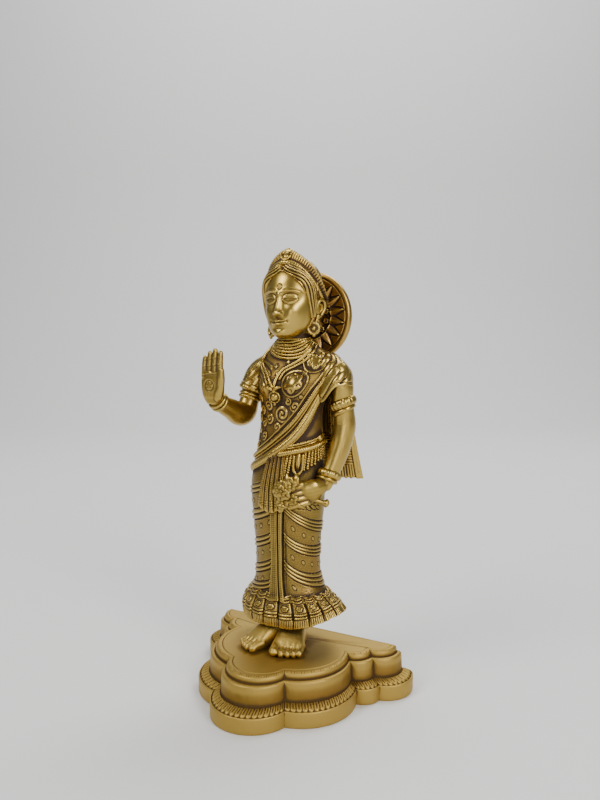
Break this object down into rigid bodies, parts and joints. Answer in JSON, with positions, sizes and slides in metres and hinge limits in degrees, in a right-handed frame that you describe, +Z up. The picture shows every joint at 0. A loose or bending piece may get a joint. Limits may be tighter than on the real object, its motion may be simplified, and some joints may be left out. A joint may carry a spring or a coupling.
{
  "type": "radha figure",
  "caption": "Standing brass female figure in a pleated sari on a lobed, stepped plinth, right palm raised, left hand low with a flower, disc halo behind the head.",
  "frame": {"origin": "on the plinth's flat underside, under the middle of the figure, on the plinth's plane of mirror symmetry", "axes": "+Z up; the figure faces -Y, the plinth's flat back edge is parallel to X, and the figure's own left hand is on the +X side"},
  "size_m": [0.1288, 0.0953, 0.2382],
  "materials": {
    "figure_brass": "antique: bright on the high points, dark brown in the hollows",
    "plinth_brass": "antique: satin walls and top, dark brown between the petals and along the mouldings"
  },
  "bodies": {
    "root": {"figure": "figure_brass", "plinth": "plinth_brass"}
  },
  "joints": []
}
